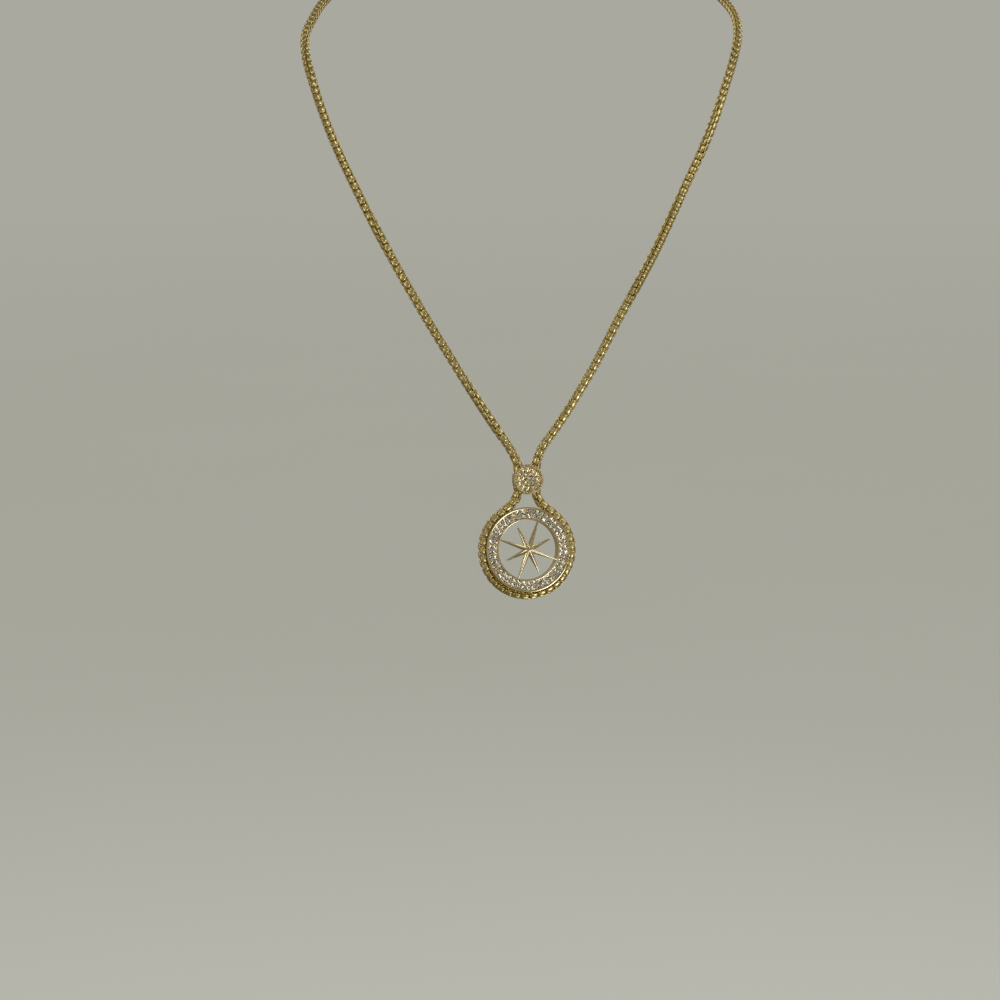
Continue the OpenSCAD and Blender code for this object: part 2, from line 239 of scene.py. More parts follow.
# A satin glow on each link, with darker and greener gold: strip metal tumbled after soldering
LINK_GOLD = gold("tumbled_gold_plated_brass", "#F0DE9E", "#E2CB82", 9, (0.22, 0.3), 1.2, 0.001)
print("metals:", CAST_GOLD.name, "and", LINK_GOLD.name)

# %% [markdown]
# ## Stones
# The stones are cubic zirconia: clear, almost colourless, with a refractive index of about 2.15, so
# that light which enters through the top comes back from the lower facets. The seat under a stone is
# gold, which warms it. Each stone carries a number of its own from the tree that places it, and the
# material reads that number, so that no two stones have quite the same tint.

# %% Cubic zirconia
def zirconia(name, tints):
    """A clear crystal whose tint lies between two, by the stone's own number."""
    material = new_material(name)
    tree = material.node_tree
    own = add(tree, "ShaderNodeAttribute", {"attribute_name": "own_number"}, {})["Fac"]
    ramp = tree.nodes.new("ShaderNodeValToRGB")
    for element, tint in zip((ramp.color_ramp.elements[0], ramp.color_ramp.elements[1]), tints):
        element.color = colour(tint)
    tree.links.new(own, ramp.inputs[0])
    shader = add(tree, "ShaderNodeBsdfPrincipled", {},
                 {"Base Color": ramp.outputs[0], "Roughness": 0.0, "IOR": 2.15,
                  "Transmission Weight": 1.0})[0]
    add(tree, "ShaderNodeOutputMaterial", {}, {"Surface": shader})
    return material


# White fire with a cool stone here and a pinkish one there: polished facets on a clear crystal
RING_CRYSTAL = zirconia("cubic_zirconia_white", ("#E2E5D2", "#F0DFCC"))
# Warm fire: the same clear stones, with a yellow tint that is a painted reflection of the deep gold seats
# round them
SLIDER_CRYSTAL = zirconia("cubic_zirconia_painted_gold_reflection", ("#FFF2BE", "#FFE8B2"))
print("stones:", RING_CRYSTAL.name, "and", SLIDER_CRYSTAL.name)

# %% [markdown]
# ## The chain
# It is a rounded box chain: each link is a short piece of domed strip bent into a rounded rectangle,
# and every link stands at a right angle to its neighbours. A chain is the plainest case for Geometry
# Nodes. One tree bends one link, spaces as many as asked along a curve, and rolls every other one
# the other way. The curve carries two facts at each point: a side direction, which says where roll
# zero is, and a twist, which turns the whole chain slowly as it climbs.

# %% Sizes of the chain
LINK_W, LINK_LEN, LINK_PITCH = 3.0, 2.38, 1.32
STRIP_W, STRIP_T = 1.0, 0.4
# The finished link is a little fuller than the solid one, which keeps clear of its neighbours
DOMED_W, DOMED_LEN, DOMED_STRIP_W, DOMED_STRIP_T, DOMED_CORNER = 2.9, 2.62, 1.86, 0.6, 0.64
CORNER_POINTS = 3
STRIP_SIDES = 8
HALF_CROSS = math.radians(45)
print(f"a finished link is {DOMED_LEN} mm long, and there is one every {LINK_PITCH} mm")

# %% Tree that bends and strings the links
def chain_tree():
    """Bends one link and copies it along a line, every other one rolled the other way."""
    tree, given = geometry_tree("string_links", {
        "Links": ("Int", 10), "Width": ("Float", DOMED_W), "Length": ("Float", DOMED_LEN),
        "Strip width": ("Float", DOMED_STRIP_W), "Strip thickness": ("Float", DOMED_STRIP_T),
        "Corner radius": ("Float", DOMED_CORNER), "Corner points": ("Int", CORNER_POINTS),
        "Strip sides": ("Int", STRIP_SIDES), "Roll": ("Float", HALF_CROSS), "Material": ("Material", None)})
    thickness = given["Strip thickness"]
    length = add(tree, "ShaderNodeMath", {"operation": "SUBTRACT"}, {0: given["Length"], 1: thickness})[0]
    width = add(tree, "ShaderNodeMath", {"operation": "SUBTRACT"}, {0: given["Width"], 1: thickness})[0]
    corner = add(tree, "ShaderNodeMath", {"operation": "MULTIPLY_ADD"},
                 {0: thickness, 1: -0.5, 2: given["Corner radius"]})[0]
    box = add(tree, "GeometryNodeCurvePrimitiveQuadrilateral", {}, {"Width": length, "Height": width})[0]
    rounded = add(tree, "GeometryNodeFilletCurve", {"mode": "POLY"},
                  {"Curve": box, "Radius": corner, "Count": given["Corner points"]})[0]
    flat = add(tree, "GeometryNodeSetCurveNormal", {"mode": "Z_UP"}, {"Curve": rounded})[0]
    circle = add(tree, "GeometryNodeCurvePrimitiveCircle", {},
                 {"Resolution": given["Strip sides"], "Radius": 0.5})[0]
    strip = add(tree, "ShaderNodeCombineXYZ", {}, {"X": thickness, "Y": given["Strip width"], "Z": 1.0})[0]
    section = add(tree, "GeometryNodeTransform", {}, {"Geometry": circle, "Scale": strip})[0]
    link = add(tree, "GeometryNodeCurveToMesh", {}, {"Curve": flat, "Profile Curve": section})[0]

    curve = add(tree, "GeometryNodeMeshToCurve", {}, {"Mesh": given["Geometry"]})[0]
    stations = add(tree, "GeometryNodeResampleCurve", {}, {"Curve": curve, "Count": given["Links"]})[0]
    side = add(tree, "GeometryNodeInputNamedAttribute", {"data_type": "FLOAT_VECTOR"}, {"Name": "side"})[0]
    twist = add(tree, "GeometryNodeInputNamedAttribute", {"data_type": "FLOAT"}, {"Name": "twist"})[0]
    along = add(tree, "GeometryNodeInputTangent", {}, {})[0]
    upright = add(tree, "FunctionNodeAxesToRotation", {"primary_axis": "X", "secondary_axis": "Y"},
                  {0: along, 1: side})[0]
    number = add(tree, "GeometryNodeInputIndex", {}, {})[0]
    odd = add(tree, "ShaderNodeMath", {"operation": "MODULO"}, {0: number, 1: 2.0})[0]
    way = add(tree, "ShaderNodeMath", {"operation": "MULTIPLY_ADD"}, {0: odd, 1: -2.0, 2: 1.0})[0]
    angle = add(tree, "ShaderNodeMath", {"operation": "MULTIPLY_ADD"},
                {0: way, 1: given["Roll"], 2: twist})[0]
    roll = add(tree, "FunctionNodeAxisAngleToRotation", {}, {"Axis": (1.0, 0.0, 0.0), "Angle": angle})[0]
    rolled = add(tree, "FunctionNodeRotateRotation", {"rotation_space": "LOCAL"}, {0: upright, 1: roll})[0]
    strung = add(tree, "GeometryNodeInstanceOnPoints", {},
                 {"Points": stations, "Instance": link, "Rotation": rolled})[0]
    finish_tree(tree, strung, given["Material"])
    return tree


STRING_LINKS = chain_tree()
print("nodes in the tree:", len(STRING_LINKS.nodes))


def chain_mesh(name, points, sides, twists, count):
    """Strings links along a line of points with a side direction and a twist at each."""
    line = mesh_of(name + "_line", points, edges=[(i, i + 1) for i in range(len(points) - 1)])
    line.attributes.new("side", "FLOAT_VECTOR", "POINT").data.foreach_set("vector", np.ravel(sides))
    line.attributes.new("twist", "FLOAT", "POINT").data.foreach_set("value", np.ravel(twists))
    made = grown(name, line, STRING_LINKS, {"Links": count, "Material": LINK_GOLD})
    print(f"{name}: {count} links, {len(made.polygons)} faces")
    return made


# %% [markdown]
# ## The chain round the ring
# Seen on the bench, this part of the chain follows straight lines and arcs. From the lowest point of
# the ring it lies on a circle in the groove, leaves it along a line that touches the circle, bends
# and runs straight up one bore of the slider. The other half mirrors it.

# %% Sizes of the ring and the slider
RIM_R = 13.2
FRONT_FLANGE, GROOVE_GAP, CHAIN_PROUD = 1.0, 0.14, 2.15
DOME = 0.25
CHAIN_REACH = (LINK_W / 2 - STRIP_T * DOME + STRIP_W / 2) * math.cos(HALF_CROSS)
WRAP_R = RIM_R + CHAIN_PROUD - CHAIN_REACH
CHAIN_Z = -(FRONT_FLANGE + GROOVE_GAP + CHAIN_REACH)
SLIDER_R, SLIDER_GAP = 4.65, 3.95
SLIDER_Y = RIM_R + SLIDER_GAP + SLIDER_R
STRAND_X, BORE_LEN, EXIT_BEND = 2.8, 5.6, 7
BORE_R = LINK_W / 2 + 0.12
BORE_WALL = 0.25
print(f"chain's middle at radius {WRAP_R:.2f} mm, {-CHAIN_Z:.2f} mm behind the face")

# %% Path round the ring
bend_x, bend_y = STRAND_X + EXIT_BEND, SLIDER_Y - BORE_LEN / 2
lean_off = math.atan2(bend_y, bend_x) - math.acos((WRAP_R + EXIT_BEND) / math.hypot(bend_x, bend_y))
arc = WRAP_R * (math.pi / 2 + lean_off)
line = math.hypot(bend_x - (WRAP_R + EXIT_BEND) * math.cos(lean_off),
                  bend_y - (WRAP_R + EXIT_BEND) * math.sin(lean_off))
bend = EXIT_BEND * lean_off
half_wrap = arc + line + bend + BORE_LEN / 2
WRAP_LINKS = 2 * round(half_wrap / LINK_PITCH)
WRAP_PITCH = 2 * half_wrap / WRAP_LINKS


def round_the_ring(s):
    """Point and heading at a distance s from the lowest point, going right where s is positive."""
    d, way = abs(s), (1 if s >= 0 else -1)
    if d < arc:
        a = d / WRAP_R
        x, y, heading = WRAP_R * math.sin(a), -WRAP_R * math.cos(a), a
    elif d < arc + line:
        a, d = lean_off, d - arc
        x, y = WRAP_R * math.cos(a) - d * math.sin(a), WRAP_R * math.sin(a) + d * math.cos(a)
        heading = math.pi / 2 + a
    elif d < arc + line + bend:
        a = lean_off - (d - arc - line) / EXIT_BEND
        x, y, heading = bend_x - EXIT_BEND * math.cos(a), bend_y - EXIT_BEND * math.sin(a), math.pi / 2 + a
    else:
        x, y, heading = STRAND_X, bend_y + d - arc - line - bend, math.pi / 2
    return way * x, y, way * heading


# Each row: distance from the lowest point in mm, turn from the two-row look in degrees
WRAP_TWIST = [(-48, 0), (-45, 0), (-38, -45), (-20, -45), (-10, -5), (0, -5), (4, -22), (12, -22),
              (17, -45), (38, -45), (45, 0), (48, 0)]
LINE_STEP = 0.2
wrap_end = half_wrap - WRAP_PITCH / 2
distances = np.linspace(-wrap_end, wrap_end, round(2 * wrap_end / LINE_STEP))
wrap_stops = [round_the_ring(s) for s in distances]
wrap_mesh = chain_mesh("wrap_links", [(x, y, CHAIN_Z) for x, y, _ in wrap_stops],
                       [(-math.sin(h), math.cos(h), 0) for _, _, h in wrap_stops],
                       np.radians(np.interp(distances, *zip(*WRAP_TWIST))), WRAP_LINKS)
wrap_links = finished("wrap_links", [wrap_mesh], FROM_BENCH, 180)
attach(wrap_links, "root")
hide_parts("wrap_chain")

# %% [markdown]
# ## The chain round the neck
# Two strands climb from the slider, part, and meet again at the clasp behind. Their routes are points
# given one by one and joined by one smooth curve. On the real chain the links slowly turn about the
# chain as it climbs: where they stand at 45 degrees to the eye it shows two rows of beads of light,
# and where one of them faces the eye it shows a single bright row. A short chart says where
# each happens, as a distance from the slider and an angle.

# %% Routes and twists of the neck chain
LEFT_ROUTE = [(-3.5, -119.5, -158), (-7, -118.5, -153), (-10.5, -117, -148), (-20, -114, -133.5),
              (-29.5, -110.5, -118.5), (-40.5, -105, -100), (-51, -97.5, -81), (-60.5, -87, -62),
              (-66, -77, -48.5), (-69.5, -67.5, -37.5), (-70, -60, -32), (-68, -51.5, -26.5),
              (-65, -40.5, -21), (-55, -24, -13), (-40, -10, -6.5), (-24, -1.5, -2)]
RIGHT_ROUTE = [(6, -119.5, -158), (9.5, -118.5, -153), (13, -117, -148), (22, -114, -133.5),
               (30, -110.5, -118.5), (40.5, -105, -100), (50, -97.5, -81), (59.5, -87, -62),
               (65, -77, -48.5), (69, -67.5, -37.5), (70.5, -60, -32), (70.5, -51.5, -26.5),
               (68, -41, -21.5), (58, -24, -13), (41.5, -10, -6.5), (24.5, -1.5, -2)]
# Each row: distance from the slider in mm, turn from the two-row look in degrees
LEFT_TWIST = [(8, 42), (12, 42), (20, 88), (26, 92), (42, 135), (78, 135), (90, 180), (98, 225), (142, 225),
              (150, 268), (158, 272), (168, 315)]
RIGHT_TWIST = [(7, 40), (16, 45), (24, 60), (32, 45), (62, 45), (69, 2), (76, -12), (96, -25), (104, -45),
               (114, -45), (121, -88), (131, -92), (139, -135), (154, -135), (166, -110)]
CLASP_LEN, CLASP_D, CLASP_FLAT, SOCKET_DEPTH, END_GAP, BORE_LEAD = 14, 5.4, 0.4, 2.5, 0.2, 0.4
CLASP_Y = CLASP_D / 2 - CLASP_FLAT
print("route points:", len(LEFT_ROUTE), "on the left and", len(RIGHT_ROUTE), "on the right")

# %% Smooth curve through a route
CURVE_STEPS = 40


def unit(v):
    """Vectors of length one with the same directions."""
    return v / np.linalg.norm(v, axis=-1, keepdims=True)


def route_curve(points):
    """Points along a smooth curve that is straight at both of its ends."""
    p = np.array(points, float)
    step = np.diff(p, axis=0)
    length = np.linalg.norm(step, axis=1, keepdims=True)
    inner = unit(step[:-1] / length[:-1] * length[1:] + step[1:] / length[1:] * length[:-1])
    heading = np.vstack([unit(step[0]), inner, unit(step[-1])])
    heading[1], heading[-2] = heading[0], heading[-1]
    u = (np.arange(CURVE_STEPS) / CURVE_STEPS)[:, None]
    parts = [(2 * u**3 - 3 * u**2 + 1) * p[i] + (u**3 - 2 * u**2 + u) * length[i] * heading[i]
             + (3 * u**2 - 2 * u**3) * p[i + 1] + (u**3 - u**2) * length[i] * heading[i + 1]
             for i in range(len(p) - 1)]
    return np.vstack(parts + [p[-1:]])


def hanging(x, y, z):
    """Where a point of the bench lies once the pendant hangs, in mm."""
    return tuple(TO_HANGING @ Vector((x, y, z)))


print("points on the left curve:", len(route_curve(LEFT_ROUTE)))

# %% Neck strands
# The way the camera looks, from a little above
VIEW_ELEVATION = 12
LOOK = np.array([0, math.cos(math.radians(VIEW_ELEVATION)), -math.sin(math.radians(VIEW_ELEVATION))])


def neck_strand(name, way, route, twist_chart):
    """One strand, way -1 on the left and 1 on the right, from the middle of its bore to the clasp."""
    start = [hanging(way * STRAND_X, SLIDER_Y + WRAP_PITCH / 2, CHAIN_Z),
             hanging(way * STRAND_X, SLIDER_Y + BORE_LEN / 2 + BORE_LEAD, CHAIN_Z)]
    end_x = CLASP_LEN / 2 - SOCKET_DEPTH + END_GAP + LINK_LEN / 2
    finish = [(way * (CLASP_LEN / 2 + BORE_LEAD), CLASP_Y, 0), (way * end_x, CLASP_Y, 0)]
    points = route_curve(start + route + finish)
    travelled = np.concatenate([[0], np.cumsum(np.linalg.norm(np.diff(points, axis=0), axis=1))])
    along = unit(np.gradient(points, axis=0))
    sides = unit(np.cross(LOOK, along))
    # In its bore the strand carries on from the stretch round the ring, with the same roll
    bore_side = np.array(TO_HANGING.to_3x3() @ Vector((1, 0, 0)))
    in_bore = math.degrees(math.atan2(np.dot(np.cross(sides[0], bore_side), along[0]),
                                      np.dot(sides[0], bore_side)))
    chart = [(0, in_bore), (BORE_LEN / 2, in_bore)] + twist_chart
    twists = np.radians(np.interp(travelled, *zip(*chart)))
    count = round(travelled[-1] / LINK_PITCH) + 1
    strand = finished(name, [chain_mesh(name, points, sides, twists, count)], TO_METRES, 180)
    print(f"{name}: {travelled[-1]:.1f} mm long")
    return strand


neck_links_left = neck_strand("neck_links_left", -1, LEFT_ROUTE, LEFT_TWIST)
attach(neck_links_left, "root")
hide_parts("neck_chain_left")
neck_links_right = neck_strand("neck_links_right", 1, RIGHT_ROUTE, RIGHT_TWIST)
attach(neck_links_right, "root")
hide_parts("neck_chain_right")

# %% [markdown]
# ## Pieces set in circles
# Stones, the small grains of metal that hold them and the beads of the slider's border all stand on
# circles. One tree sets any number of copies of a piece on a circle of any size. It can tip each
# copy a little, as a setter's hand does, always in the same way because its seed is fixed, and it
# gives each copy a number of its own for the material to read.

# %% Tree that sets pieces on a circle
def circle_tree():
    """Copies a piece round a circle, each tipped a little and with a number of its own."""
    tree, given = geometry_tree("set_on_circle", {
        "Piece": ("Object", None), "Radius": ("Float", 1.0), "Count": ("Int", 8), "Start": ("Float", 0.0),
        "Height": ("Float", 0.0), "Tilt": ("Float", 0.0), "Spin": ("Float", 0.0), "Seed": ("Int", 1),
        "Material": ("Material", None)})
    number = add(tree, "GeometryNodeInputIndex", {}, {})[0]
    step = add(tree, "ShaderNodeMath", {"operation": "DIVIDE"}, {0: math.tau, 1: given["Count"]})[0]
    angle = add(tree, "ShaderNodeMath", {"operation": "MULTIPLY_ADD"},
                {0: number, 1: step, 2: given["Start"]})[0]
    across = add(tree, "ShaderNodeMath", {"operation": "COSINE"}, {0: angle})[0]
    upward = add(tree, "ShaderNodeMath", {"operation": "SINE"}, {0: angle})[0]
    compass = add(tree, "ShaderNodeCombineXYZ", {}, {"X": across, "Y": upward})[0]
    spread = add(tree, "ShaderNodeVectorMath", {"operation": "SCALE"},
                 {0: compass, "Scale": given["Radius"]})[0]
    level = add(tree, "ShaderNodeCombineXYZ", {}, {"Z": given["Height"]})[0]
    place = add(tree, "ShaderNodeVectorMath", {"operation": "ADD"}, {0: spread, 1: level})[0]
    points = add(tree, "GeometryNodePoints", {}, {"Count": given["Count"], "Position": place})[0]
    chance = add(tree, "FunctionNodeRandomValue", {"data_type": "FLOAT_VECTOR"},
                 {0: (-1.0, -1.0, -1.0), 1: (1.0, 1.0, 1.0), "Seed": given["Seed"]})[0]
    reach = add(tree, "ShaderNodeCombineXYZ", {},
                {"X": given["Tilt"], "Y": given["Tilt"], "Z": given["Spin"]})[0]
    facing = add(tree, "ShaderNodeCombineXYZ", {}, {"Z": angle})[0]
    tipped = add(tree, "ShaderNodeVectorMath", {"operation": "MULTIPLY_ADD"},
                 {0: chance, 1: reach, 2: facing})[0]
    rotation = add(tree, "FunctionNodeEulerToRotation", {}, {0: tipped})[0]
    piece = add(tree, "GeometryNodeObjectInfo", {}, {"Object": given["Piece"]})["Geometry"]
    copies = add(tree, "GeometryNodeInstanceOnPoints", {},
                 {"Points": points, "Instance": piece, "Rotation": rotation})[0]
    own = add(tree, "FunctionNodeRandomValue", {"data_type": "FLOAT"},
              {2: 0.0, 3: 1.0, "Seed": given["Seed"]})[1]
    marked = add(tree, "GeometryNodeStoreNamedAttribute", {"data_type": "FLOAT", "domain": "INSTANCE"},
                 {"Geometry": copies, "Name": "own_number", "Value": own})[0]
    finish_tree(tree, marked, given["Material"])
    return tree


SET_ON_CIRCLE = circle_tree()
print("nodes in the tree:", len(SET_ON_CIRCLE.nodes))


def circle_mesh(name, piece, material, radius, count, start=0, height=0, tilt=0, spin=0, seed=1):
    """Copies of a piece on one circle round the middle, start, tilt and spin in degrees."""
    return grown(name, bpy.data.meshes.new(name), SET_ON_CIRCLE, {
        "Piece": piece, "Material": material, "Radius": float(radius), "Count": count,
        "Height": float(height), "Start": math.radians(start), "Tilt": math.radians(tilt),
        "Spin": math.radians(spin), "Seed": seed})


# %% [markdown]
# ## Patterns for the small pieces
# Each small piece is made once, at the middle of the bench, and the tree copies it. Stones as small as
# these are usually single cut: a table, eight facets above the girdle and eight below it, which give
# fewer but broader flashes than a full brilliant. The girdle is a cylinder that the facets' planes
# cut, so it is thin in the middle of a facet and thicker where two facets meet.

# %% Single cut
# Width of the table and heights of the crown, the girdle and the pavilion, as shares of the diameter
TABLE_SHARE, CROWN_SHARE, GIRDLE_SHARE, PAVILION_SHARE = 0.6, 0.15, 0.01, 0.43


def single_cut(name, d):
    """A stone d across with its girdle's upper edge at height zero and its table on top."""
    r, eighth = d / 2, math.pi / 4
    lean = math.cos(eighth / 2)
    table_r, crown_h = TABLE_SHARE / 2 * d, CROWN_SHARE * d
    girdle_h, pavilion_h = GIRDLE_SHARE * d, PAVILION_SHARE * d
    # How far the girdle's edge climbs, or drops, from the middle of a facet to where it meets the next
    crown_rise = crown_h * r * (1 - lean) / (r - table_r * lean)
    pavilion_rise = pavilion_h * (1 - lean)

    def ring(radius, heights, count, start=0.0):
        angles = [start + math.tau * i / count for i in range(count)]
        return [(radius * math.cos(a), radius * math.sin(a), heights[i % len(heights)])
                for i, a in enumerate(angles)]

    points = (ring(table_r, [crown_h], 8, eighth / 2) + ring(r, [0, crown_rise], 16)
              + ring(r, [-girdle_h, -girdle_h - pavilion_rise], 16) + [(0, 0, -girdle_h - pavilion_h)])
    upper, lower, culet = 8, 24, 40
    faces = [tuple(range(8))]
    for i in range(8):
        before, middle, after = (2 * i - 1) % 16, 2 * i, 2 * i + 1
        faces += [((i - 1) % 8, upper + before, upper + middle, upper + after, i),
                  (lower + before, culet, lower + after, lower + middle)]
    faces += [(lower + i, lower + (i + 1) % 16, upper + (i + 1) % 16, upper + i) for i in range(16)]
    mesh = mesh_of(name, points, faces)
    print(f"{name}: {len(faces)} faces, {d} mm across")
    return object_of(name, mesh)


STONE_D, SLIDER_STONE_D = 1.42, 1.4
ring_stone = single_cut("pattern_ring_stone", STONE_D)
slider_stone = single_cut("pattern_slider_stone", SLIDER_STONE_D)

# %% Grain, bead and seat
def ball(name, d, divisions):
    """A smooth ball, for the grains between the stones and the beads of the border."""
    whole = bmesh.new()
    bmesh.ops.create_icosphere(whole, subdivisions=divisions, radius=d / 2)
    mesh = baked(name, whole)
    mesh.shade_smooth()
    return object_of(name, mesh)


# A seat is narrower than its stone by the ledge, has a straight wall and ends in a cone, whose small
# flat end lies clear of the stone's point. The drill starts a little above the metal.
LEDGE, SEAT_WALL, SEAT_CLEAR, SEAT_END_SHARE, DRILL_LIP = 0.03, 0.06, 0.07, 0.04, 0.2


def seat_cone(name, stone_d):
    """The tool that drills the seat of a stone."""
    r, sides = stone_d / 2 - LEDGE, 24
    levels = [(r, DRILL_LIP), (r, -SEAT_WALL),
              (r * SEAT_END_SHARE, -PAVILION_SHARE * stone_d - SEAT_CLEAR)]
    points = [(rr * math.cos(math.tau * i / sides), rr * math.sin(math.tau * i / sides), z)
              for rr, z in levels for i in range(sides)]
    faces = [tuple(range(sides)), tuple(2 * sides + i for i in reversed(range(sides)))]
    faces += [(k * sides + i, (k + 1) * sides + i,
               (k + 1) * sides + (i + 1) % sides, k * sides + (i + 1) % sides)
              for k in (0, 1) for i in range(sides)]
    return object_of(name, mesh_of(name, points, faces))


GRAIN_D, BEAD_D = 0.38, 0.78
grain = ball("pattern_grain", GRAIN_D, 2)
bead = ball("pattern_bead", BEAD_D, 3)
ring_seat = seat_cone("pattern_ring_seat", STONE_D)
slider_seat = seat_cone("pattern_slider_seat", SLIDER_STONE_D)
patterns = [ring_stone, slider_stone, grain, bead, ring_seat, slider_seat]
print("patterns:", ", ".join(p.name for p in patterns))

# %% [markdown]
# ## Turned and drilled metal
# The ring and the slider's disc are round, so they are turned like a bowl on a lathe: an outline with
# rounded corners, carried once round the middle. The seats of the stones are then drilled by a
# boolean cut. A stone of clear crystal needs its seat, because the eye looks through the stone into it.

# %% Lathe and drill
def rounded_outline(corners):
    """Outline through corners (r, z, rounding), each rounded by an arc of four steps."""
    outline = []
    p = [np.array(c[:2], float) for c in corners]
    for i, (_, _, rounding) in enumerate(corners):
        here = p[i]
        back, ahead = unit(p[i - 1] - here), unit(p[(i + 1) % len(p)] - here)
        half = math.acos(max(-1.0, min(1.0, float(back @ ahead)))) / 2
        if rounding == 0 or half > math.radians(89):
            outline.append(tuple(here))
            continue
        reach = rounding / math.tan(half)
        middle = here + unit(back + ahead) * (rounding / math.sin(half))
        first, last = here + back * reach - middle, here + ahead * reach - middle
        sweep = math.pi - 2 * half
        for k in range(5):
            a, b = math.sin(sweep * (1 - k / 4)), math.sin(sweep * k / 4)
            outline.append(tuple(middle + (first * a + last * b) / math.sin(sweep)))
    return outline


def turned(name, corners, steps, material):
    """A closed outline (r, z) carried once round the Z axis."""
    outline = rounded_outline(corners)
    n = len(outline)
    points = [(r * math.cos(math.tau * i / steps), r * math.sin(math.tau * i / steps), z)
              for i in range(steps) for r, z in outline]
    faces = [(i * n + j, i * n + (j + 1) % n, (i + 1) % steps * n + (j + 1) % n, (i + 1) % steps * n + j)
             for i in range(steps) for j in range(n)]
    whole = bmesh.new()
    whole.from_mesh(mesh_of(name, points, faces))
    bmesh.ops.remove_doubles(whole, verts=whole.verts, dist=1e-5)
    bmesh.ops.recalc_face_normals(whole, faces=whole.faces)
    mesh = baked(name, whole)
    mesh.materials.append(material)
    return mesh


def carved(name, mesh, tool_meshes, operation="DIFFERENCE"):
    """Cuts tools out of a mesh, or keeps only what lies inside them, as one plain mesh."""
    body = object_of(name + "_blank", mesh)
    tool = bmesh.new()
    for tool_mesh in tool_meshes:
        tool.from_mesh(tool_mesh)
    joined = baked(name + "_tool", tool)
    joined.materials.append(mesh.materials[0])
    cutter = object_of(name + "_tool", joined)
    modifier = body.modifiers.new("cut", "BOOLEAN")
    modifier.operation, modifier.solver, modifier.object = operation, "EXACT", cutter
    made = applied(body)
    bpy.data.objects.remove(cutter)
    print(f"{name}: {len(made.polygons)} faces after the cut")
    return made


square = [(1, 1, 0.1), (2, 1, 0.1), (2, 2, 0.1), (1, 2, 0.1)]
print("a square with rounded corners has", len(rounded_outline(square)), "points")

# %% [markdown]
# ## The ring
# From the front the ring is two thin polished rims with a bed of stones between them. The top of each
# rim is a shallow dome, so a lamp lights it up along one arc and leaves the rest calm. Behind the
# front flange a deep groove holds the chain, and a thinner flange closes it at the back.

# %% Ring
OPENING_R, INNER_RIM_W, OUTER_RIM_W, RIM_H = 9.35, 0.4, 0.55, 0.35
BACK_FLANGE, BACK_R = 0.5, 12.9
RING_STEPS, DOME_STEPS = 192, 6
bed_r0, bed_r1 = OPENING_R + INNER_RIM_W, RIM_R - OUTER_RIM_W
groove_r = WRAP_R - CHAIN_REACH - GROOVE_GAP
groove_back = CHAIN_Z - CHAIN_REACH - GROOVE_GAP
back_z = groove_back - BACK_FLANGE
# The domes stop short of the ring's inner and outer sides, which begin a little lower
RIM_DOME_R, INNER_SHORT, OUTER_SHORT, INNER_LOWER, OUTER_LOWER = 0.75, 0.03, 0.06, 0.15, 0.4


def dome(r0, r1):
    """Outline across the top of a rim: a shallow arc from one radius to the other."""
    return [(r, -(r - (r0 + r1) / 2) ** 2 / (2 * RIM_DOME_R), 0)
            for r in (r0 + (r1 - r0) * k / DOME_STEPS for k in range(DOME_STEPS + 1))]


# Each corner: radius, height and rounding
ring_outline = [
    *dome(OPENING_R + INNER_SHORT, bed_r0), (bed_r0, -RIM_H, 0.04), (bed_r1, -RIM_H, 0.04),
    *dome(bed_r1, RIM_R - OUTER_SHORT), (RIM_R, -OUTER_LOWER, 0.2), (RIM_R, -FRONT_FLANGE, 0.12),
    (groove_r, -FRONT_FLANGE, 0.1), (groove_r, groove_back, 0.1), (BACK_R, groove_back, 0.1),
    (BACK_R, back_z, 0.2), (OPENING_R, back_z, 0.2), (OPENING_R, -INNER_LOWER, 0)]
row_r = [bed_r0 + share * (bed_r1 - bed_r0) for share in (0.25, 0.75)]
STONE_PITCH = 1.6
row_count = [math.floor(math.tau * r / STONE_PITCH) for r in row_r]
row_start = [0, 180 / row_count[1]]
ring_seats = [circle_mesh(f"seats_{k}", ring_seat, CAST_GOLD, row_r[k], row_count[k], row_start[k], -RIM_H)
              for k in (0, 1)]
ring_mesh = carved("ring_band", turned("ring_band", ring_outline, RING_STEPS, CAST_GOLD), ring_seats)
ring_band = finished("ring_band", [ring_mesh], FROM_BENCH)
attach(ring_band, "root")
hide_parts("compass_ring")
print("stones in the two rows:", row_count)

# %% Stones and grains of the ring
# A setter's hand leaves each stone tipped and turned by up to this many degrees
STONE_TILT, STONE_SPIN = 8, 20
stone_rows = [circle_mesh(f"stones_{k}", ring_stone, RING_CRYSTAL, row_r[k], row_count[k], row_start[k],
                          -RIM_H, tilt=STONE_TILT, spin=STONE_SPIN, seed=11 + k) for k in (0, 1)]
ring_stones_cut = finished("ring_stones_cut", stone_rows, FROM_BENCH, 0)
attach(ring_stones_cut, "root")
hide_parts("ring_stones")

GRAIN_ASIDE, GRAIN_RISE = 0.42, 0.06
grain_rows = [circle_mesh(f"grains_{k}_{way}", grain, CAST_GOLD, row_r[k] + way * GRAIN_ASIDE,
                          row_count[k], row_start[k] + 180 / row_count[k], -RIM_H + GRAIN_RISE)
              for k in (0, 1) for way in (-1, 1)]
ring_grains = finished("ring_grains", grain_rows, FROM_BENCH, 180)
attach(ring_grains, "root")
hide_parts("compass_ring")

# %% [markdown]
# ## The star
# Four long arms reach the inner rim and are soldered to it, four short ones stand free between them.
# Every arm has a ridge that climbs to one point in the middle, so that its two slopes catch the light
# differently. The shape follows a rule: a notch, then the two corners of a tip, eight times. A fine
# bevel on every edge, and a broader one along each ridge, gives the bright lines of real metal.

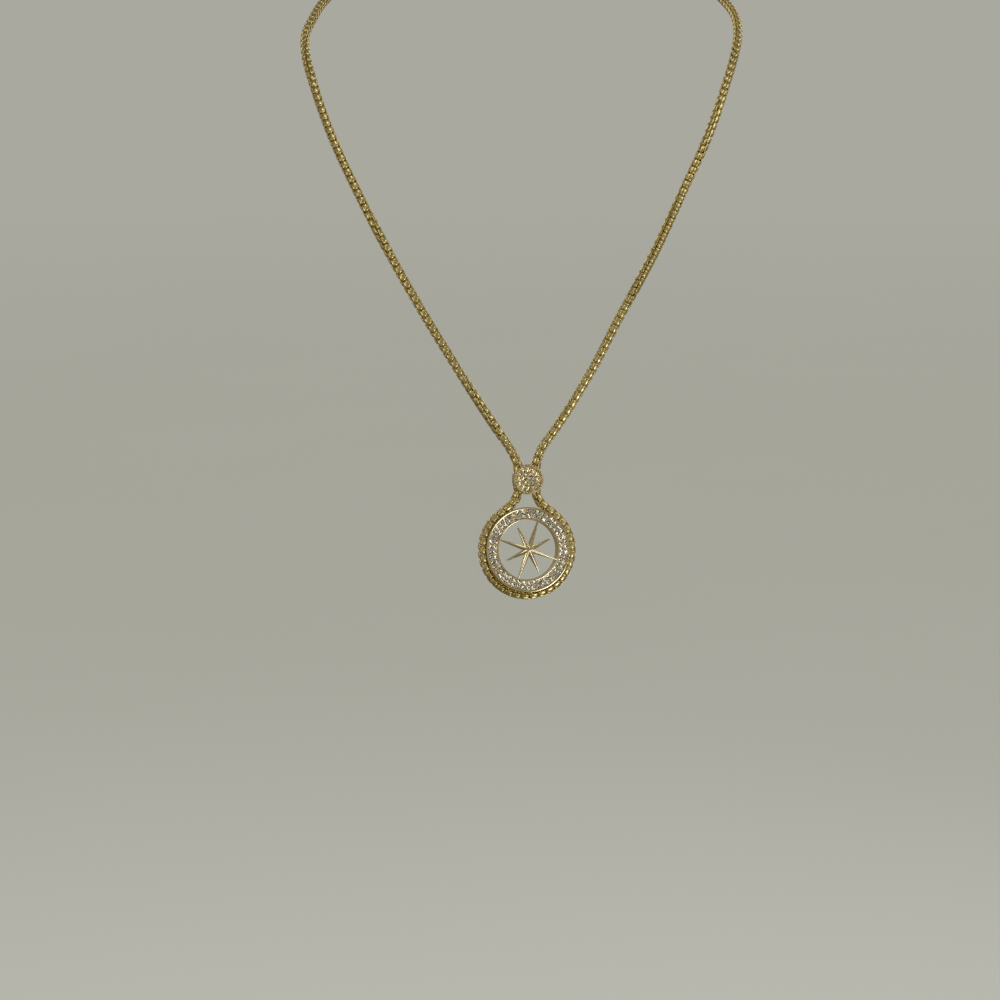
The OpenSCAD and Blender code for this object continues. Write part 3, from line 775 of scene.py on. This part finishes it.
# %% Star
ARMS, ARM_STEP = 8, 45
STAR_TURN, STAR_PEAK, SHORT_ARM, STAR_NOTCH = 71, 1.7, 7.5, 1.75
TIP_W, TIP_T, TIP_RISE = 0.36, 0.8, 0.18
NOTCH_SHARE, TIP_BEVEL_SHARE = 0.55, 0.15
long_arm = OPENING_R + INNER_RIM_W / 2
notch_z = TIP_RISE + NOTCH_SHARE * (STAR_PEAK - TIP_RISE)
corner_z = TIP_RISE - TIP_BEVEL_SHARE * TIP_T
outline, ridge_ends = [], []
for i in range(ARMS):
    a = math.radians(STAR_TURN + ARM_STEP * i)
    b = a - math.radians(ARM_STEP / 2)
    ahead, aside = np.array([math.cos(a), math.sin(a)]), np.array([-math.sin(a), math.cos(a)])
    tip = ahead * (long_arm if i % 2 == 0 else SHORT_ARM)
    outline += [(STAR_NOTCH * math.cos(b), STAR_NOTCH * math.sin(b), notch_z),
                (*(tip - aside * TIP_W / 2), corner_z), (*(tip + aside * TIP_W / 2), corner_z)]
    ridge_ends.append((*tip, TIP_RISE))
n = len(outline)
star_points = outline + [(x, y, TIP_RISE - TIP_T) for x, y, _ in outline] + ridge_ends + [(0, 0, STAR_PEAK)]
peak = 2 * n + ARMS
star_faces = [tuple(n + i for i in reversed(range(n)))]
for i in range(n):
    if i % 3 != 1:
        star_faces.append((n + i, n + (i + 1) % n, (i + 1) % n, i))
for i in range(ARMS):
    a, ridge, b = 3 * i, 2 * n + i, (3 * i + 3) % n
    star_faces += [(a, a + 1, ridge, peak), (ridge, a + 2, b, peak),
                   (n + a + 1, n + a + 2, a + 2, ridge, a + 1)]
star_blank = object_of("star_blank", mesh_of("star_blank", star_points, star_faces))
# Widths of the bevels, on the outer edges and along the ridges
EDGE, RIDGE = 0.05, 0.26
weights = star_blank.data.attributes.new("bevel_weight_edge", "FLOAT", "EDGE")
for edge in star_blank.data.edges:
    on_ridge = peak in edge.vertices and max(v for v in edge.vertices if v != peak) >= 2 * n
    weights.data[edge.index].value = 1.0 if on_ridge else EDGE / RIDGE
softened = star_blank.modifiers.new("edges", "BEVEL")
softened.width, softened.segments, softened.limit_method = RIDGE, 3, "WEIGHT"
star_mesh = applied(star_blank)
star_mesh.materials.append(CAST_GOLD)
compass_star = finished("compass_star", [star_mesh], FROM_BENCH, 20)
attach(compass_star, "root")
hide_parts("compass_ring")

# %% [markdown]
# ## The slider
# A small round disc rides on both strands above the ring. Its face has its own bed of nineteen
# stones inside a border of beads. Behind it, a bar with two bores takes the chain.

# %% Slider
SLIDER_T, BORDER_W, BORDER_H = 1.3, 0.86, 0.26
SLIDER_STEP = 1.5
bar_r = BORE_R + BORE_WALL
slider_back = CHAIN_Z + BORE_R + BORE_WALL / 2
slider_bed = slider_back + SLIDER_T
border_r = SLIDER_R - BORDER_W
DISC_STEPS, TUBE_STEPS = 96, 48
# Each corner: radius, height and rounding
disc_outline = [(0, slider_back, 0), (SLIDER_R, slider_back, 0.15), (SLIDER_R, slider_bed + BORDER_H, 0.2),
                (border_r, slider_bed + BORDER_H, 0.1), (border_r, slider_bed, 0.04), (0, slider_bed, 0)]
# Each circle of stones: radius, number, angle of the first
circles = [(0.0, 1, 0), (SLIDER_STEP, 6, 0), (2 * SLIDER_STEP, 12, 0)]
slider_seats = [circle_mesh(f"slider_seats_{k}", slider_seat, CAST_GOLD, r, count, start, slider_bed)
                for k, (r, count, start) in enumerate(circles)]
disc = carved("slider_disc", turned("slider_disc", disc_outline, DISC_STEPS, CAST_GOLD), slider_seats)
bead_r = SLIDER_R - BORDER_W / 2
BEAD_GAP = 0.12
bead_count = math.floor(math.tau * bead_r / (BEAD_D + BEAD_GAP))
border = circle_mesh("border", bead, CAST_GOLD, bead_r, bead_count, 0, slider_bed + BORDER_H)
# Each circle of grains: radius, number, angle of the first
grain_circles = [(0.87, 6, 30), (2.03, 6, 30), (2.4, 6, 14), (2.4, 6, -14), (3.52, 12, 15)]
SLIDER_GRAIN_RISE = 0.04
slider_grains = [circle_mesh(f"slider_grains_{k}", grain, CAST_GOLD, r, count, start,
                             slider_bed + SLIDER_GRAIN_RISE)
                 for k, (r, count, start) in enumerate(grain_circles)]
print("beads in the border:", bead_count)

# %% Bar with the two bores
def in_each_bore(mesh):
    """Two copies of a mesh turned round the Z axis, one in each bore of the bar."""
    copies = []
    for way in (-1, 1):
        copy = mesh.copy()
        copy.transform(Matrix.Translation((way * STRAND_X, 0, CHAIN_Z))
                       @ Matrix.Rotation(math.radians(90), 4, "X"))
        copies.append(copy)
    return copies


tube_outline = [(BORE_R, -BORE_LEN / 2, 0.06), (bar_r, -BORE_LEN / 2, 0.12),
                (bar_r, BORE_LEN / 2, 0.12), (BORE_R, BORE_LEN / 2, 0.06)]
tubes = in_each_bore(turned("bore_tube", tube_outline, TUBE_STEPS, CAST_GOLD))
# The web between the tubes: a block with a wide drill hole where each tube passes
WEB_SHORT, WEB_THIN = 0.2, 0.1
block = bmesh.new()
bmesh.ops.create_cube(block, size=1, matrix=Matrix.Translation((0, 0, CHAIN_Z))
                      @ Matrix.Diagonal((2 * STRAND_X, BORE_LEN - WEB_SHORT, 2 * bar_r - WEB_THIN, 1)))
block_mesh = baked("web", block)
block_mesh.materials.append(CAST_GOLD)
drill_r = BORE_R + BORE_WALL / 2
drill_outline = [(0, -BORE_LEN, 0), (drill_r, -BORE_LEN, 0), (drill_r, BORE_LEN, 0), (0, BORE_LEN, 0)]
web = carved("web", block_mesh, in_each_bore(turned("drill", drill_outline, TUBE_STEPS, CAST_GOLD)))
# From the front the bar keeps just inside the disc's round outline
bar_reach = SLIDER_R - 0.02
round_outline = [(0, 2 * CHAIN_Z, 0), (bar_reach, 2 * CHAIN_Z, 0), (bar_reach, 0, 0), (0, 0, 0)]
round_cut = turned("round_cut", round_outline, DISC_STEPS, CAST_GOLD)
bar_pieces = [carved(f"bar_{k}", piece, [round_cut], "INTERSECT") for k, piece in enumerate([*tubes, web])]
FROM_SLIDER = TO_METRES @ (TO_HANGING @ Matrix.Translation((0, SLIDER_Y, 0)))
slider_metal = finished("slider_metal", [disc, border, *slider_grains, *bar_pieces], FROM_SLIDER)
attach(slider_metal, "root")
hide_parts("slider")

# %% Stones of the slider
slider_rows = [circle_mesh(f"slider_stones_{k}", slider_stone, SLIDER_CRYSTAL, r, count, start, slider_bed,
                           tilt=STONE_TILT, spin=STONE_SPIN, seed=21 + k)
               for k, (r, count, start) in enumerate(circles)]
slider_stones_cut = finished("slider_stones_cut", slider_rows, FROM_SLIDER, 0)
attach(slider_stones_cut, "root")
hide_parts("slider_stones")

# %% [markdown]
# ## The clasp
# Behind, both strands end in the sockets of a plain barrel clasp with a flat on its inner side. The
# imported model's shape is right, so a copy of it is merged, softened on its edges and given the same
# gold.

# %% Clasp
whole = bmesh.new()
whole.from_mesh(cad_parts["clasp"].data)
bmesh.ops.remove_doubles(whole, verts=whole.verts, dist=0.001 * MM)
bmesh.ops.dissolve_limit(whole, angle_limit=math.radians(1), verts=whole.verts, edges=whole.edges)
clasp_blank = object_of("clasp_blank", baked("clasp_blank", whole))
softened = clasp_blank.modifiers.new("edges", "BEVEL")
softened.width, softened.segments = 0.12 * MM, 3
softened.limit_method, softened.angle_limit = "ANGLE", math.radians(35)
clasp_mesh = applied(clasp_blank)
clasp_mesh.materials.clear()
clasp_mesh.materials.append(CAST_GOLD)
clasp_barrel = finished("clasp_barrel", [clasp_mesh], Matrix.Identity(4))
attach(clasp_barrel, "root")
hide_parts("clasp")

for pattern in patterns:
    bpy.data.objects.remove(pattern)

# %% [markdown]
# ## Floor, light and camera
# Polished gold shows what is round it, so the light matters more than anything else here. A soft key
# light stands low on the right, a second one higher and further round, and a third nearly below the
# pendant, which lights the chain under the ring. They are a little cool, so that the gold's
# highlights come out nearly white. Weaker lights fill from the left, from above and from behind, and
# the rest of the studio is fairly dark, which gives the links their deep tones. The floor is plain
# and pale. It lies well below the pendant and fades into an equally pale distance.

# %% Floor and studio walls
# Faint clouds in the paint, two thirds of a metre across
CLOUD_SIZE = 2 / 3


def pale_floor():
    """Matt paint that fades to nothing far away, so that the floor has no edge."""
    material = new_material("matt_painted_board")
    tree = material.node_tree
    place = add(tree, "ShaderNodeTexCoord", {}, {})["Object"]
    cloud = add(tree, "ShaderNodeTexNoise", {},
                {"Vector": place, "Scale": 1 / CLOUD_SIZE, "Detail": 3})[0]
    shade = add(tree, "ShaderNodeMix", {"data_type": "RGBA"},
                {0: cloud, 6: colour("#FDFDFA"), 7: colour("#F9F9F5")})[2]
    board = add(tree, "ShaderNodeBsdfPrincipled", {}, {"Base Color": shade, "Roughness": 0.8})[0]
    far = add(tree, "ShaderNodeVectorMath", {"operation": "LENGTH"}, {0: place})["Value"]
    fade = add(tree, "ShaderNodeMapRange", {"interpolation_type": "SMOOTHSTEP"},
               {"Value": far, "From Min": 2.0, "From Max": 12.0})[0]
    clear = add(tree, "ShaderNodeBsdfTransparent", {}, {})[0]
    mixed = add(tree, "ShaderNodeMixShader", {}, {0: fade, 1: board, 2: clear})[0]
    add(tree, "ShaderNodeOutputMaterial", {}, {"Surface": mixed})
    return material


FLOOR_Z, FLOOR_R, FLOOR_SIDES = -0.9, 20, 64
floor_turns = [math.tau * i / FLOOR_SIDES for i in range(FLOOR_SIDES)]
floor_points = [(FLOOR_R * math.cos(a), FLOOR_R * math.sin(a), FLOOR_Z) for a in floor_turns]
floor_mesh = mesh_of("floor", floor_points, [tuple(range(FLOOR_SIDES))])
floor_mesh.materials.append(pale_floor())
floor = object_of("floor", floor_mesh)
floor.visible_glossy = floor.visible_transmission = floor.visible_shadow = False

# The distance that the camera sees, and the tones of the walls that the gold sees, from below to above
PALE = colour("#A9A9A0")
world = bpy.data.worlds.new("studio")
world.use_nodes = True
tree = world.node_tree
tree.nodes.clear()
toward = add(tree, "ShaderNodeTexCoord", {}, {})["Generated"]
height = add(tree, "ShaderNodeSeparateXYZ", {}, {0: toward})["Z"]
ramp = tree.nodes.new("ShaderNodeValToRGB")
walls = [(0.0, "#564F40"), (0.42, "#7E786A"), (0.55, "#949086"), (0.75, "#7C7870"), (1.0, "#64625C")]
while len(ramp.color_ramp.elements) < len(walls):
    ramp.color_ramp.elements.new(0.5)
for element, (where, tone) in zip(ramp.color_ramp.elements, walls):
    element.position = where
    element.color = colour(tone)
level = add(tree, "ShaderNodeMapRange", {}, {"Value": height, "From Min": -1.0, "From Max": 1.0})[0]
tree.links.new(level, ramp.inputs[0])
# A stone throws back small pieces of a room. Rays that leave one see panels, most dark and a few bright
panels = add(tree, "ShaderNodeTexVoronoi", {}, {"Vector": toward, "Scale": 2.6})["Color"]
chance = add(tree, "ShaderNodeSeparateColor", {}, {0: panels})[0]
panel_light = add(tree, "ShaderNodeMapRange", {"interpolation_type": "SMOOTHSTEP"},
                  {"Value": chance, "From Min": 0.6, "From Max": 0.85, "To Min": 0.04, "To Max": 2.2})[0]
ray = add(tree, "ShaderNodeLightPath", {}, {})
in_metal = add(tree, "ShaderNodeMix", {"data_type": "RGBA"},
               {0: ray["Is Glossy Ray"], 6: PALE, 7: ramp.outputs[0]})[2]
in_stone = add(tree, "ShaderNodeMix", {"data_type": "RGBA"},
               {0: ray["Is Transmission Ray"], 6: in_metal, 7: panel_light})[2]
glow = add(tree, "ShaderNodeBackground", {}, {"Color": in_stone, "Strength": 1.0})[0]
add(tree, "ShaderNodeOutputWorld", {}, {"Surface": glow})
scene.world = world
scene.view_settings.view_transform = "Standard"
print("floor at", FLOOR_Z, "m; the world's tone:", [round(c, 2) for c in PALE[:3]])

# %% Lights
CENTRE = FROM_BENCH.translation


def softbox(name, turn, rise, away, width, tall, brightness, tint="#FFFFFF"):
    """A soft lamp that faces the pendant, turn degrees right of the front and rise degrees up."""
    light = bpy.data.lights.new(name, "AREA")
    light.shape, light.size, light.size_y = "RECTANGLE", width, tall
    light.energy = brightness * math.pi * width * tall
    light.color = colour(tint)[:3]
    lamp = object_of(name, light)
    a, b = math.radians(turn), math.radians(rise)
    toward_lamp = Vector((math.sin(a) * math.cos(b), -math.cos(a) * math.cos(b), math.sin(b)))
    lamp.location = CENTRE + away * toward_lamp
    lamp.rotation_euler = toward_lamp.to_track_quat("Z", "Y").to_euler()
    lamp.visible_camera = False
    return lamp


COOL, PALE_GREEN, WARM = "#E4EAFF", "#E8F6F0", "#FFFCF4"
lamps = [
    softbox("key", 36, -12, 1.3, 0.42, 0.42, 5.1, COOL),
    softbox("right_high", 78, 28, 1.4, 0.6, 0.6, 1.8, COOL),
    softbox("below", 55, -70, 0.65, 0.3, 0.3, 1.9, PALE_GREEN),
    softbox("left", -52, 8, 1.5, 0.3, 0.6, 1.5, WARM),
    softbox("top", 8, 70, 1.4, 0.8, 0.35, 1.2),
    softbox("back_left", -145, 25, 1.6, 0.6, 0.9, 0.8),
    softbox("back_right", 150, 20, 1.6, 0.6, 0.9, 0.8),
]
# Small bright lamps, which the polished metal and the facets pick up as points of light
for number, (turn, rise) in enumerate([(-20, 35), (52, 38), (-40, 8), (-8, 62)]):
    lamps.append(softbox(f"sparkle_{number}", turn, rise, 1.4, 0.1, 0.1, 9))
print("lamps:", len(lamps))

# %% Camera
RING_PIXEL, PHOTO_SIZE = (528.4, 549.7), 1000
CAMERA_AWAY, PIXELS_PER_MM, SENSOR = 700, 3.2258, 36
pixels_away = PIXELS_PER_MM * CAMERA_AWAY
camera_data = bpy.data.cameras.new("photo_camera")
camera_data.sensor_width = SENSOR
camera_data.lens = SENSOR * pixels_away / PHOTO_SIZE
camera_data.clip_start = 0.05
camera = object_of("photo_camera", camera_data)
right, up = Vector((1, 0, 0)), Vector((0, -LOOK[2], LOOK[1]))
aim = [(RING_PIXEL[0] - PHOTO_SIZE / 2) / PIXELS_PER_MM, (PHOTO_SIZE / 2 - RING_PIXEL[1]) / PIXELS_PER_MM]
camera.location = CENTRE + MM * (-CAMERA_AWAY * Vector(LOOK) - aim[0] * right - aim[1] * up)
camera.rotation_euler = (math.radians(90 - VIEW_ELEVATION), 0, 0)
scene.camera = camera
print("lens:", round(camera_data.lens, 2), "mm; camera at", [round(v, 4) for v in camera.location])
